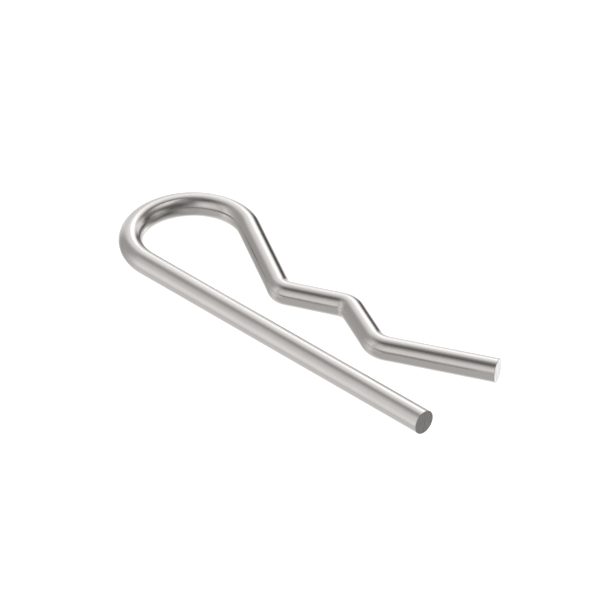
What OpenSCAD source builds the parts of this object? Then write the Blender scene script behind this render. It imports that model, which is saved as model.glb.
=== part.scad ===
// R clip, also called a hitch pin clip or a hairpin cotter.
// One length of round spring wire, bent flat. The straight leg goes through the cross hole of a
// pin, and the wavy leg snaps over the outside of that pin, which holds the pin in place.
// The clip lies flat in XY, with the bow towards -X. The origin is on the straight leg's axis,
// under the middle of the hump, where the axis of the fitted pin crosses it.

/* [Wire] */
// Diameter of the spring wire
wire_d = 4; // [2:0.1:5]
// Width of the small chamfer on the rim of each cut end
edge_break = 0.05; // [0.02:0.01:0.5]
// How much thicker the wire is in a bend, where bending squeezes it, than in a straight stretch
bend_swell = 0.05; // [0.02:0.01:0.2]

/* [Bow] */
// Inside diameter of the round bow
bow_d = 16; // [15:0.5:22]

/* [Straight leg] */
// Length of the straight leg, from the middle of the bow to its cut end
leg_l = 62.4; // [50:0.1:90]

/* [Wavy leg] */
// From the middle of the bow to the middle of the hump
hump_x = 32.5; // [30:0.25:45]
// Distance between the two valleys, one on each side of the hump
valley_pitch = 21.5; // [18:0.25:26]
// Clear gap between the straight leg and each valley
throat = 5.65; // [3:0.05:8]
// Height of the hump above the two valleys
hump_h = 4.2; // [2:0.1:6]

/* [Bends] */
// Inside radius of the bend in the valley beside the bow
inner_valley_r = 0.5; // [0.25:0.25:4]
// Inside radius of the bend at the top of the hump
hump_r = 1.75; // [0.25:0.25:4]
// Inside radius of the bend in the valley beside the open end
outer_valley_r = 2; // [0.25:0.25:4]

/* [Open end] */
// Angle at which the open end flares away from the straight leg
flare_angle = 25; // [10:1:40]
// Length of the flared end, after its bend
flare_l = 18.4; // [10:0.1:30]

/* [Hidden] */
$fn = 96;

wire_r = wire_d / 2;
bend_r = wire_r + bend_swell / 2;
// How far a straight stretch reaches into the bend at its end, so that the two are one piece
lap = 0.1;
// Heights above the straight leg's axis, to the middle of the wire
valley_y = wire_r + throat + bend_r;
hump_y = valley_y + hump_h;

// A bend is [its centre, its radius to the middle of the wire, the way it turns].
// They stand in the order in which the wire meets them, starting on the straight leg.
LEFT = 1;
RIGHT = -1;
bow = bend_under([-hump_x, 0], bow_d / 2, RIGHT);
inner_valley = bend_under([-valley_pitch / 2, valley_y], inner_valley_r, LEFT);
hump = bend_over([0, hump_y], hump_r, RIGHT);
outer_valley = bend_under([valley_pitch / 2, valley_y], outer_valley_r, LEFT);
bends = [bow, inner_valley, hump, outer_valley];
last = len(bends) - 1;

// The wire runs along X at a point, under or over the centre of its bend.
function bend_under(point, inside_r, turn) =
    [point + [0, inside_r + bend_r], inside_r + bend_r, turn];
function bend_over(point, inside_r, turn) =
    [point - [0, inside_r + bend_r], inside_r + bend_r, turn];
function centre(bend) = bend[0];
function radius(bend) = bend[1];
function turn(bend) = bend[2];

// Heading of the straight stretch that leaves bend a and meets bend b, tangent to both
function heading_between(a, b) =
    let (
        apart = centre(b) - centre(a),
        aside = turn(b) * radius(b) - turn(a) * radius(a)
    )
    atan2(apart.y, apart.x) - asin(aside / norm(apart));

// Point where a bend meets a straight stretch of that heading
function tangent_point(bend, heading) =
    centre(bend) + turn(bend) * radius(bend) * [sin(heading), -cos(heading)];

// Straight stretches: the leg towards the bow, one between each two bends, and the flared end
headings = [
    180,
    for (i = [1 : last]) heading_between(bends[i - 1], bends[i]),
    flare_angle
];
// Where the wire goes into each bend, and where it comes out
into = [for (i = [0 : last]) tangent_point(bends[i], headings[i])];
out_of = [for (i = [0 : last]) tangent_point(bends[i], headings[i + 1])];
leg_end = [leg_l - hump_x, 0];
flare_end = out_of[last] + flare_l * [cos(flare_angle), sin(flare_angle)];

// Lays what stands on Z = 0 along the line from one point to another
module lying(from, to) {
    run = to - from;
    translate(from)
        rotate([0, 90, atan2(run.y, run.x)])
            children();
}

// Round wire between two bends
module straight_wire(from, to) {
    lying(from, to)
        translate([0, 0, -lap])
            cylinder(h = norm(to - from) + 2 * lap, r = wire_r);
}

// Round wire from a bend to its cut end, which has the edge of its rim broken
module end_wire(from, face) {
    length = norm(face - from);
    lying(from, face)
        rotate_extrude()
            polygon([
                [0, -lap],
                [wire_r, -lap],
                [wire_r, length - edge_break],
                [wire_r - edge_break, length],
                [0, length]
            ]);
}

// Round wire that follows a bend from one heading to the next
module bent_wire(bend, from_heading, to_heading) {
    translate(centre(bend))
        rotate(min(from_heading, to_heading) - 90 * turn(bend))
            rotate_extrude(angle = abs(to_heading - from_heading))
                translate([radius(bend), 0])
                    circle(r = bend_r);
}

module r_clip() {
    color("silver") {
        end_wire(into[0], leg_end);
        for (i = [1 : last]) straight_wire(out_of[i - 1], into[i]);
        for (i = [0 : last]) bent_wire(bends[i], headings[i], headings[i + 1]);
        end_wire(out_of[last], flare_end);
    }
}

r_clip();
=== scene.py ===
import math

import bmesh
import bpy
from mathutils import Matrix, Vector


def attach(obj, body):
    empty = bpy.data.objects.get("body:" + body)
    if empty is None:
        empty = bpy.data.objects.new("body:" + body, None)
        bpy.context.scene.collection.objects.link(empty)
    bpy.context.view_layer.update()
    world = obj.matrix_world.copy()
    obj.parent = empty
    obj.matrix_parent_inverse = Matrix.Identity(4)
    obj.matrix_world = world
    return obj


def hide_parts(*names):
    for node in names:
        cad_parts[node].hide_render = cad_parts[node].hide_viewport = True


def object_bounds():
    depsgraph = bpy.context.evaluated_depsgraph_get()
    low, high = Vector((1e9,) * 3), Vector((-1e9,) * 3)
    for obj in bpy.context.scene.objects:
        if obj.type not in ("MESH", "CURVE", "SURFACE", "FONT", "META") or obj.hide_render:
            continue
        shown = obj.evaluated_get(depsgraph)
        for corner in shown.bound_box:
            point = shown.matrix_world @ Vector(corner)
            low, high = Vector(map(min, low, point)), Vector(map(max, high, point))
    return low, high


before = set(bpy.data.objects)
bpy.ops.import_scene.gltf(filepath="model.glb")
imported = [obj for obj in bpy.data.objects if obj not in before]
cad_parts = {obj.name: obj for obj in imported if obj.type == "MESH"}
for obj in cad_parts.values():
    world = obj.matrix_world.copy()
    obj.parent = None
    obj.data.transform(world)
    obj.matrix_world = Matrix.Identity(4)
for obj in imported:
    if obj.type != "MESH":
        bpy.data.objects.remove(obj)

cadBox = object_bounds()  # before anything is added
mm = 0.001

# One length of round spring wire, bent flat, with the sizes of the source in mm.
wire = {
    "diameter": 4.0,
    "bendSwell": 0.05,  # a bend is this much thicker, where bending squeezes it
    "edgeBreak": 0.05,
    "bowInside": 16.0,
    "legLength": 62.4,
    "humpFromBow": 32.5,
    "valleyPitch": 21.5,
    "throat": 5.65,
    "humpHeight": 4.2,
    "innerValleyRadius": 0.5,
    "humpRadius": 1.75,
    "outerValleyRadius": 2.0,
    "flareAngle": 25.0,
    "flareLength": 18.4,
    "sides": 96,
    "bendStep": 2.5,  # degrees from ring to ring in a bend
    "fewestBendSteps": 8,
    "straightStep": 1.5,  # mm from ring to ring in a straight stretch
    "fewestStraightSteps": 2,
    "swellRun": 1.5,  # mm over which the wire thickens, on each side of where a bend starts
    "swellAtJoint": 0.4,  # the share of the bend's swell that it has where the bend starts
}
straightRadius = wire["diameter"] / 2
bendRadius = straightRadius + wire["bendSwell"] / 2
faceRadius = straightRadius - wire["edgeBreak"]


def ahead(heading):
    turned = math.radians(heading)
    return Vector((math.cos(turned), math.sin(turned), 0))


def leftOf(heading):
    return ahead(heading + 90)


def bendAt(x, y, inside, turn, centreSide):
    reach = inside + bendRadius
    return {"centre": Vector((x, y + centreSide * reach, 0)), "reach": reach, "turn": turn}


def headingBetween(a, b):  # of the straight stretch that is tangent to both bends
    apart = b["centre"] - a["centre"]
    aside = b["turn"] * b["reach"] - a["turn"] * a["reach"]
    return math.degrees(math.atan2(apart.y, apart.x) - math.asin(aside / apart.length))


def tangentPoint(bend, heading):
    return bend["centre"] - bend["turn"] * bend["reach"] * leftOf(heading)


# A bend turns left (1) or right (-1), and its centre is above (1) or below (-1) the wire.
valleyY = straightRadius + wire["throat"] + bendRadius
humpY = valleyY + wire["humpHeight"]
bends = [
    bendAt(-wire["humpFromBow"], 0, wire["bowInside"] / 2, -1, 1),
    bendAt(-wire["valleyPitch"] / 2, valleyY, wire["innerValleyRadius"], 1, 1),
    bendAt(0, humpY, wire["humpRadius"], -1, -1),
    bendAt(wire["valleyPitch"] / 2, valleyY, wire["outerValleyRadius"], 1, 1),
]
# The straight stretches: the leg towards the bow, one between each two bends, and the flared end
slants = [headingBetween(a, b) for a, b in zip(bends, bends[1:])]
headings = [180.0] + slants + [wire["flareAngle"]]
legEnd = Vector((wire["legLength"] - wire["humpFromBow"], 0, 0))
flareEnd = tangentPoint(bends[-1], headings[-1]) + wire["flareLength"] * ahead(headings[-1])


def nextRing(bm, pen, radius, move=Vector(), centre=Vector(), angle=0.0, strain=0.0):
    # one more ring of the wire, moved or turned from the last one, and brought to its radius
    made = bmesh.ops.spin(bm, geom=pen["ring"], cent=centre, axis=(0, 0, 1), dvec=move,
                          angle=math.radians(angle), steps=1)
    pen["ring"] = [g for g in made["geom_last"] if not isinstance(g, bmesh.types.BMFace)]
    turned = Matrix.Rotation(math.radians(angle), 4, "Z")
    last = pen["place"]
    pen["place"] = centre + turned @ (last - centre) + move
    pen["heading"] += angle
    pen["gone"] += move.length + abs(math.radians(angle)) * (last - centre).length
    verts = [g for g in pen["ring"] if isinstance(g, bmesh.types.BMVert)]
    bmesh.ops.scale(bm, vec=[radius / pen["radius"]] * 3, verts=verts,
                    space=Matrix.Translation(-pen["place"]))
    pen["radius"] = radius
    markRing(pen, verts, strain)


def markRing(pen, verts, strain):
    # each vertex keeps where it was while the wire was still straight, and the strain of its bend
    for v in verts:
        off = v.co - pen["place"]
        v[pen["unbent"]] = Vector((pen["gone"], off.dot(leftOf(pen["heading"])), off.z)) * mm
        v[pen["strain"]] = strain


def eased(share):
    share = min(max(share, 0), 1)
    return share * share * (3 - 2 * share)


def radiusAt(swell):  # from 0 in a straight stretch to 1 in a bend
    return straightRadius + swell * (bendRadius - straightRadius)


def strainOf(bend):  # how far a bend stretches the wire's outer side, if there is a bend
    return straightRadius / bend["reach"] if bend else 0


def straightTo(bm, pen, point, before, after):
    # a straight stretch, which starts to thicken near the bends before and after it
    length = (point - pen["place"]).length
    steps = max(wire["fewestStraightSteps"], round(length / wire["straightStep"]))
    move = (point - pen["place"]) / steps
    for i in range(1, steps + 1):
        gone = length * i / steps
        left = length - gone
        atStart = wire["swellAtJoint"] * eased(1 - gone / wire["swellRun"]) if before else 0
        atEnd = wire["swellAtJoint"] * eased(1 - left / wire["swellRun"]) if after else 0
        strain = max(atStart * strainOf(before), atEnd * strainOf(after))
        nextRing(bm, pen, radiusAt(max(atStart, atEnd)), move=move, strain=strain)


def bendTo(bm, pen, bend, heading):
    angle = heading - pen["heading"]
    if bend["turn"] * angle < 0:
        angle += 360 * bend["turn"]
    steps = max(wire["fewestBendSteps"], round(abs(angle) / wire["bendStep"]))
    arc = abs(math.radians(angle)) * bend["reach"]
    for i in range(1, steps + 1):
        nearest = min(i, steps - i) / steps * arc
        inBend = eased(nearest / min(wire["swellRun"], arc / 2))
        swell = wire["swellAtJoint"] + (1 - wire["swellAtJoint"]) * inBend
        nextRing(bm, pen, radiusAt(swell), centre=bend["centre"], angle=angle / steps,
                 strain=swell * strainOf(bend))


def makeWire():
    mesh = bpy.data.meshes.new("springWire")
    piece = bpy.data.objects.new("springWire", mesh)
    bpy.context.scene.collection.objects.link(piece)
    bm = bmesh.new()
    pen = {
        "place": legEnd.copy(), "heading": 180.0, "gone": 0.0, "radius": faceRadius,
        "unbent": bm.verts.layers.float_vector.new("unbent"),
        "strain": bm.verts.layers.float.new("strain"),
    }
    facing = Matrix.Translation(legEnd) @ Matrix.Rotation(math.radians(-90), 4, "Y")
    circle = bmesh.ops.create_circle(bm, segments=wire["sides"], radius=faceRadius, matrix=facing)
    markRing(pen, circle["verts"], 0)
    pen["ring"] = circle["verts"] + bm.edges[:]
    rims = [bm.edges[:]]

    nextRing(bm, pen, straightRadius, move=wire["edgeBreak"] * ahead(180))
    rims.append([g for g in pen["ring"] if isinstance(g, bmesh.types.BMEdge)])
    for i, bend in enumerate(bends):
        straightTo(bm, pen, tangentPoint(bend, headings[i]), bends[i - 1] if i else None, bend)
        bendTo(bm, pen, bend, headings[i + 1])
    edgeBreak = wire["edgeBreak"] * ahead(headings[-1])
    straightTo(bm, pen, flareEnd - edgeBreak, bends[-1], None)
    rims.append([g for g in pen["ring"] if isinstance(g, bmesh.types.BMEdge)])
    nextRing(bm, pen, faceRadius, move=edgeBreak)
    rims.append([g for g in pen["ring"] if isinstance(g, bmesh.types.BMEdge)])

    for face in bm.faces:
        face.smooth = True
    for rim in (rims[0], rims[-1]):  # the two cut faces
        for face in bmesh.ops.contextual_create(bm, geom=rim)["faces"]:
            face.material_index = 1
            face.smooth = False
    for rim in rims:
        for edge in rim:
            edge.smooth = False
    bmesh.ops.scale(bm, vec=(mm, mm, mm), verts=bm.verts)
    bmesh.ops.recalc_face_normals(bm, faces=bm.faces)
    bm.to_mesh(mesh)
    bm.free()
    return piece


# Nodes and materials. addNode makes a node, sets or wires its inputs, and sets its options.
def addNode(tree, kind, inputs=None, **settings):
    node = tree.nodes.new(kind)
    for name, value in settings.items():
        setattr(node, name, value)
    for name, value in (inputs or {}).items():
        socket = node.inputs[name]
        if isinstance(value, bpy.types.NodeSocket):
            tree.links.new(value, socket)
        else:
            socket.default_value = value
    return node


def newGroup(name, inputs, outputs):
    group = bpy.data.node_groups.new(name, "ShaderNodeTree")
    for label, kind in inputs:
        group.interface.new_socket(label, in_out="INPUT", socket_type=kind)
    for label, kind in outputs:
        group.interface.new_socket(label, in_out="OUTPUT", socket_type=kind)
    return group, addNode(group, "NodeGroupInput"), addNode(group, "NodeGroupOutput")


def newMaterial(name):
    material = bpy.data.materials.new(name)
    material.use_nodes = True
    tree = material.node_tree
    return material, tree, tree.nodes["Principled BSDF"]


usualNoise = (0.3, 0.7)  # nearly all of a noise texture's values lie between these
drawn = {
    "paleSteel": (0.81, 0.795, 0.78, 1),
    "warmSteel": (0.74, 0.72, 0.705, 1),
    "roughness": 0.125,
    "roughnessSpread": 0.03,
    "strainRoughness": 0.03,  # how much rougher a wholly strained surface would be
    "linesPerMetre": 3200,
    "lineStretch": 0.01,  # how much slower the pattern changes along the wire than across it
    "lineShare": 0.45,  # of the colour's change, the rest follows the smudges
    "lineDepth": 0.000008,  # of the lines that the die leaves, in metres
    "smudgesPerMetre": 260,
    "rubsPerMetre": 2400,  # faint marks across the wire, where clips have rubbed on each other
    "rubSqueeze": (1.0, 0.45, 0.45),  # below 1 across the wire, so they are longer that way
    "rubDepth": 0.000013,  # in metres
    "grainPerMetre": 2600,
    "grainDepth": 0.000012,  # of the fine grain of a wholly strained surface, in metres
}
cut = {
    "steel": (0.88, 0.87, 0.86, 1),
    "shearMark": (0.61, 0.60, 0.59, 1),
    "darkRim": (0.74, 0.73, 0.72, 1),
    "rimWidth": 0.2,  # mm
    "roughness": 0.17,
    "roughnessSpread": 0.05,
    "linesPerMetre": 2600,
    "lineStretch": 0.2,
    "lineDepth": 0.00001,  # of the shear marks, in metres
    "smudgesPerMetre": 700,
}


def makeDrawnLines():
    # fine lines along X of the vector, and slow smudges, both from 0 to 1
    group, given, out = newGroup(
        "drawnLines",
        [("Vector", "NodeSocketVector"), ("Lines per Metre", "NodeSocketFloat"),
         ("Stretch", "NodeSocketFloat"), ("Smudges per Metre", "NodeSocketFloat")],
        [("Lines", "NodeSocketFloat"), ("Smudge", "NodeSocketFloat")])
    squeeze = addNode(group, "ShaderNodeCombineXYZ",
                      {"X": given.outputs["Stretch"], "Y": 1.0, "Z": 1.0})
    along = addNode(group, "ShaderNodeVectorMath",
                    {0: given.outputs["Vector"], 1: squeeze.outputs[0]}, operation="MULTIPLY")
    lines = addNode(group, "ShaderNodeTexNoise",
                    {"Vector": along.outputs[0], "Scale": given.outputs["Lines per Metre"],
                     "Detail": 3.0, "Roughness": 0.6})
    smudge = addNode(group, "ShaderNodeTexNoise",
                     {"Vector": given.outputs["Vector"],
                      "Scale": given.outputs["Smudges per Metre"],
                      "Detail": 4.0, "Roughness": 0.55})
    group.links.new(lines.outputs["Fac"], out.inputs["Lines"])
    group.links.new(smudge.outputs["Fac"], out.inputs["Smudge"])
    return group


def useDrawnLines(tree, group, vector, finish):
    return addNode(tree, "ShaderNodeGroup",
                   {"Vector": vector, "Lines per Metre": finish["linesPerMetre"],
                    "Stretch": finish["lineStretch"],
                    "Smudges per Metre": finish["smudgesPerMetre"]}, node_tree=group)


def spread(tree, value, low, high):  # brings a noise's usual values to the range low to high
    return addNode(tree, "ShaderNodeMapRange",
                   {"Value": value, "From Min": usualNoise[0], "From Max": usualNoise[1],
                    "To Min": low, "To Max": high}).outputs["Result"]


def mixColour(tree, share, first, second):
    return addNode(tree, "ShaderNodeMix", {0: share, 6: first, 7: second},
                   data_type="RGBA").outputs[2]


def doMath(tree, operation, first, second):
    return addNode(tree, "ShaderNodeMath", {0: first, 1: second}, operation=operation).outputs[0]


def roughnessBy(tree, mask, finish):
    low, high = (finish["roughness"] + way * finish["roughnessSpread"] for way in (-1, 1))
    return spread(tree, mask, low, high)


def setSteel(tree, steel, colour, roughness, height):
    bump = addNode(tree, "ShaderNodeBump", {"Height": height, "Strength": 1.0, "Distance": 1.0})
    tree.links.new(colour, steel.inputs["Base Color"])
    tree.links.new(roughness, steel.inputs["Roughness"])
    tree.links.new(bump.outputs[0], steel.inputs["Normal"])
    steel.inputs["Metallic"].default_value = 1.0


def makeDrawnWire(group):
    material, tree, steel = newMaterial("drawnWire")
    unbent = addNode(tree, "ShaderNodeAttribute", attribute_name="unbent").outputs["Vector"]
    strain = addNode(tree, "ShaderNodeAttribute", attribute_name="strain").outputs["Fac"]
    marks = useDrawnLines(tree, group, unbent, drawn)
    grain = addNode(tree, "ShaderNodeTexNoise",
                    {"Vector": unbent, "Scale": drawn["grainPerMetre"], "Detail": 2.0})
    across = addNode(tree, "ShaderNodeVectorMath",
                     {0: unbent, 1: drawn["rubSqueeze"]}, operation="MULTIPLY").outputs[0]
    rubs = addNode(tree, "ShaderNodeTexNoise",
                   {"Vector": across, "Scale": drawn["rubsPerMetre"], "Detail": 3.0})
    lineHeight = doMath(tree, "MULTIPLY", marks.outputs["Lines"], drawn["lineDepth"])
    rubHeight = doMath(tree, "MULTIPLY", rubs.outputs["Fac"], drawn["rubDepth"])
    grainHeight = doMath(tree, "MULTIPLY", grain.outputs["Fac"], drawn["grainDepth"])
    height = doMath(tree, "ADD", doMath(tree, "ADD", lineHeight, rubHeight),
                    doMath(tree, "MULTIPLY", grainHeight, strain))
    smudgeTone = doMath(tree, "MULTIPLY", marks.outputs["Smudge"], 1 - drawn["lineShare"])
    lineTone = doMath(tree, "MULTIPLY", marks.outputs["Lines"], drawn["lineShare"])
    tone = spread(tree, doMath(tree, "ADD", smudgeTone, lineTone), 0.0, 1.0)
    colour = mixColour(tree, tone, drawn["warmSteel"], drawn["paleSteel"])
    rougher = doMath(tree, "MULTIPLY", strain, drawn["strainRoughness"])
    roughness = doMath(tree, "ADD", roughnessBy(tree, marks.outputs["Lines"], drawn), rougher)
    setSteel(tree, steel, colour, roughness, height)
    return material


def makeCutFace(group):
    material, tree, steel = newMaterial("cutFace")
    unbent = addNode(tree, "ShaderNodeAttribute", attribute_name="unbent").outputs["Vector"]
    parts = addNode(tree, "ShaderNodeSeparateXYZ", {0: unbent})
    # the shear runs down the face, so the lines follow Z there
    down = addNode(tree, "ShaderNodeCombineXYZ",
                   {"X": parts.outputs["Z"], "Y": parts.outputs["Y"], "Z": parts.outputs["X"]})
    marks = useDrawnLines(tree, group, down.outputs[0], cut)
    across = addNode(tree, "ShaderNodeCombineXYZ",
                     {"X": parts.outputs["Y"], "Y": parts.outputs["Z"]})
    fromMiddle = addNode(tree, "ShaderNodeVectorMath", {0: across.outputs[0]},
                         operation="LENGTH").outputs["Value"]
    rim = addNode(tree, "ShaderNodeMapRange",
                  {"Value": fromMiddle, "From Min": (faceRadius - cut["rimWidth"]) * mm,
                   "From Max": faceRadius * mm, "To Min": 0.0, "To Max": 1.0},
                  interpolation_type="SMOOTHSTEP").outputs["Result"]
    marked = mixColour(tree, spread(tree, marks.outputs["Lines"], 0.0, 1.0),
                       cut["steel"], cut["shearMark"])
    setSteel(tree, steel, mixColour(tree, rim, marked, cut["darkRim"]),
             roughnessBy(tree, marks.outputs["Smudge"], cut),
             doMath(tree, "MULTIPLY", marks.outputs["Lines"], cut["lineDepth"]))
    return material


clip = makeWire()
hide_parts("r_clip")
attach(clip, "root")
print("wire:", len(clip.data.polygons), "faces, slants at",
      ", ".join(str(round(slant, 2)) for slant in slants), "degrees")

lines = makeDrawnLines()
clip.data.materials.append(makeDrawnWire(lines))  # slot 0, the wire's side
clip.data.materials.append(makeCutFace(lines))  # slot 1, both ends
print("finish: drawn wire and cut faces")

# The studio: a pale floor, and soft panels of light all round, which the bare steel mirrors.
# Angles are in degrees, azimuth from +X towards +Y. Strengths add up.
# The base and 19 of the 25 panels start from another program's least-squares fit to how bright
# the photo shows the clip. Most were then changed, and the other six were added.
studio = {
    "floorReach": 3.0,  # metres from the middle
    "floorGlow": 1.0,  # its own light, which keeps it pale up to its edge
    "floorWhite": (0.86, 0.86, 0.86, 1),
    "seenWhite": (1.0, 1.0, 1.0, 1),  # what the camera sees in place of the panels
    "base": 0.193,  # the room's own light, from all sides
    "leastLight": 0.02,  # what the black cards leave at least
    "weakLight": 0.15,  # up to here the light has the room's warm tint
    "fullLight": 1.1,  # from here on it is as neutral as the panels
    "roomTint": (1.0, 0.975, 0.945, 1),
    "panelTint": (1.0, 1.0, 1.0, 1),
    # azimuth, elevation, half width, half height, blur, strength
    "panels": [
        (126, 51, 27, 22, 18, 0.60),  # the key light, high behind the bow
        (121, 30, 12, 12, 11, 0.50),
        (121, 32, 9, 6, 6, 0.40),
        (133, -14, 9, 46, 41, 1.24),
        (90, 17, 14, 15, 10, 0.62),
        (114, 2, 6, 13, 10, -0.60),  # a black card beside it
        (92, -32, 9, 8, 8, 0.42),  # seen in the far cut face
        (164, 16, 8, 52, 9, 0.19),
        (173, 66, 13, 6, 36, 0.66),
        (187, -15, 42, 70, 12, 0.19),
        (235, 9, 5, 37, 13, 0.43),  # the fill from the camera's left
        (235, 24, 22, 33, 14, 0.19),
        (275, 33, 26, 23, 12, 0.30),
        (289, 23, 30, 19, 22, 0.30),
        (277, -57, 69, 59, 25, 0.29),  # what a pale floor sends back up
        (89, -54, 23, 37, 17, 0.49),
        (152, -72, 48, 32, 27, 0.43),
        (31, -80, 38, 34, 20, 0.32),
        (213, -44, 14, 3, 4, 0.10),
        (40, 66, 28, 20, 17, 0.50),  # this one and the next show in the bow's inside
        (15, 68, 50, 16, 17, 0.17),
        (28, 5, 17, 17, 14, 0.34),
        (60, 8, 9, 14, 7, -0.07),
        (245, 69, 20, 5, 6, -0.06),
        (338, -16, 47, 64, 9, -0.06),
    ],
}


def makeSoftPanel():
    # how much of a soft-edged panel of light lies in the direction that is looked at
    group, given, out = newGroup(
        "softPanel",
        [("Azimuth", "NodeSocketFloat"), ("Elevation", "NodeSocketFloat"),
         ("Half Width", "NodeSocketFloat"), ("Half Height", "NodeSocketFloat"),
         ("Blur", "NodeSocketFloat")],
        [("Light", "NodeSocketFloat")])
    look = addNode(group, "ShaderNodeTexCoord").outputs["Generated"]
    parts = addNode(group, "ShaderNodeSeparateXYZ", {0: look})

    def edge(angle, middle, half):
        inDegrees = doMath(group, "MULTIPLY", angle, math.degrees(1))
        off = doMath(group, "SUBTRACT", inDegrees, middle)
        wrapped = addNode(group, "ShaderNodeMath", {0: off, 1: 180.0, 2: -180.0},
                          operation="WRAP").outputs[0]
        away = doMath(group, "ABSOLUTE", wrapped, 0.0)
        return addNode(group, "ShaderNodeMapRange",
                       {"Value": away, "From Min": doMath(group, "ADD", half, given.outputs["Blur"]),
                        "From Max": doMath(group, "SUBTRACT", half, given.outputs["Blur"]),
                        "To Min": 0.0, "To Max": 1.0},
                       interpolation_type="SMOOTHSTEP").outputs["Result"]

    across = edge(doMath(group, "ARCTAN2", parts.outputs["Y"], parts.outputs["X"]),
                  given.outputs["Azimuth"], given.outputs["Half Width"])
    upDown = edge(doMath(group, "ARCSINE", parts.outputs["Z"], 0.0),
                  given.outputs["Elevation"], given.outputs["Half Height"])
    group.links.new(doMath(group, "MULTIPLY", across, upDown), out.inputs["Light"])
    return group


def lightStudio():
    world = bpy.data.worlds.new("studio")
    bpy.context.scene.world = world
    world.use_nodes = True
    tree = world.node_tree
    tree.nodes.clear()
    panel = makeSoftPanel()
    light = studio["base"]
    for azimuth, elevation, halfWidth, halfHeight, blur, strength in studio["panels"]:
        mask = addNode(tree, "ShaderNodeGroup",
                       {"Azimuth": azimuth, "Elevation": elevation, "Half Width": halfWidth,
                        "Half Height": halfHeight, "Blur": blur}, node_tree=panel).outputs[0]
        light = doMath(tree, "ADD", doMath(tree, "MULTIPLY", mask, strength), light)
    light = doMath(tree, "MAXIMUM", light, studio["leastLight"])
    fullness = addNode(tree, "ShaderNodeMapRange",
                       {"Value": light, "From Min": studio["weakLight"],
                        "From Max": studio["fullLight"]}).outputs["Result"]
    tint = mixColour(tree, fullness, studio["roomTint"], studio["panelTint"])
    soft = addNode(tree, "ShaderNodeBackground", {"Color": tint, "Strength": light})
    seen = addNode(tree, "ShaderNodeBackground", {"Color": studio["seenWhite"], "Strength": 1.0})
    direct = addNode(tree, "ShaderNodeLightPath").outputs["Is Camera Ray"]
    both = addNode(tree, "ShaderNodeMixShader",
                   {0: direct, 1: soft.outputs[0], 2: seen.outputs[0]})
    addNode(tree, "ShaderNodeOutputWorld", {"Surface": both.outputs[0]})


def makeFloor():
    mesh = bpy.data.meshes.new("floor")
    floor = bpy.data.objects.new("floor", mesh)
    bpy.context.scene.collection.objects.link(floor)
    bm = bmesh.new()
    bmesh.ops.create_grid(bm, x_segments=1, y_segments=1, size=studio["floorReach"],
                          matrix=Matrix.Translation((0, 0, cadBox[0].z)))
    bm.to_mesh(mesh)
    bm.free()
    material = bpy.data.materials.new("paleFloor")
    material.use_nodes = True
    tree = material.node_tree
    tree.nodes.clear()
    lit = addNode(tree, "ShaderNodeBsdfDiffuse", {"Color": studio["floorWhite"]})
    glow = addNode(tree, "ShaderNodeEmission",
                   {"Color": studio["floorWhite"], "Strength": studio["floorGlow"]})
    both = addNode(tree, "ShaderNodeAddShader", {0: lit.outputs[0], 1: glow.outputs[0]})
    addNode(tree, "ShaderNodeOutputMaterial", {"Surface": both.outputs[0]})
    mesh.materials.append(material)
    floor.visible_glossy = False  # the steel mirrors the studio's own lower half instead


# The camera, from another program's fit to the clip's outline in the photo
view = {
    "azimuth": 45.267,
    "elevation": 35.711,
    "roll": -1.098,
    "target": (-7.034, 9.934, 0),  # mm
    "distance": 655.3,  # mm
    "lens": 242.63,  # on Blender's own sensor, 36 mm wide
    "nearest": 0.01,  # metres, the range that the camera sees
    "farthest": 20,
}


def makeCamera():
    turned, raised, rolled = (math.radians(view[k]) for k in ("azimuth", "elevation", "roll"))
    back = Vector((math.sin(turned) * math.cos(raised), -math.cos(turned) * math.cos(raised),
                   math.sin(raised)))
    level = Vector((math.cos(turned), math.sin(turned), 0))
    upright = back.cross(level)
    rightward = math.cos(rolled) * level + math.sin(rolled) * upright
    upward = back.cross(rightward)
    camera = bpy.data.objects.new("camera", bpy.data.cameras.new("camera"))
    bpy.context.scene.collection.objects.link(camera)
    camera.data.lens = view["lens"]
    camera.data.clip_start = view["nearest"]
    camera.data.clip_end = view["farthest"]
    axes = Matrix((rightward, upward, back)).transposed().to_4x4()
    place = (Vector(view["target"]) + back * view["distance"]) * mm
    camera.matrix_world = Matrix.Translation(place) @ axes
    bpy.context.scene.camera = camera


lightStudio()
makeFloor()
makeCamera()
bpy.context.scene.view_settings.view_transform = "Standard"
print("studio:", len(studio["panels"]), "panels, floor and camera")
